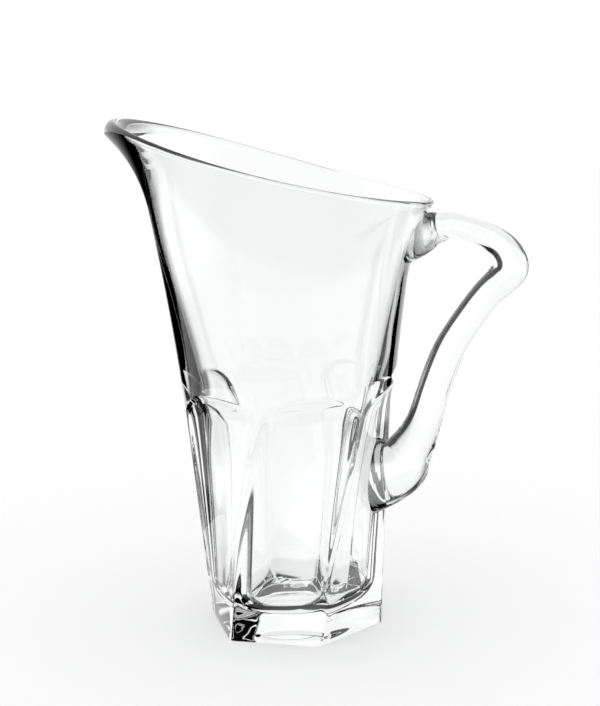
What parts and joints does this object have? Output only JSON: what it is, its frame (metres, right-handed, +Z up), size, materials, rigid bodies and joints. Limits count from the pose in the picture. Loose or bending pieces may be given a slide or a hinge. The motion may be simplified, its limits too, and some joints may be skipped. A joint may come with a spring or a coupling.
{
  "type": "glass pitcher",
  "caption": "Heavy clear glass pitcher with a swirled, fluted six-sided lower body, a slanted rim rising to a rolled pouring spout, and a solid drawn handle fused on opposite the spout.",
  "frame": {"origin": "in the plane of the ground ring that stands on the table, halfway between the tip of the spout and the back of the handle, 16.2 mm from the vessel's upright axis on the handle's side", "axes": "+Z up, parallel to the vessel's axis, +X towards the handle, so the spout points to -X, +Y completes a right-handed frame"},
  "size_m": [0.2219, 0.1642, 0.2734],
  "materials": {
    "vessel_glass": "fire-polished clear colourless glass",
    "handle_glass": "fire-polished clear colourless glass"
  },
  "bodies": {
    "root": {"vessel": "vessel_glass", "handle": "handle_glass"}
  },
  "joints": []
}
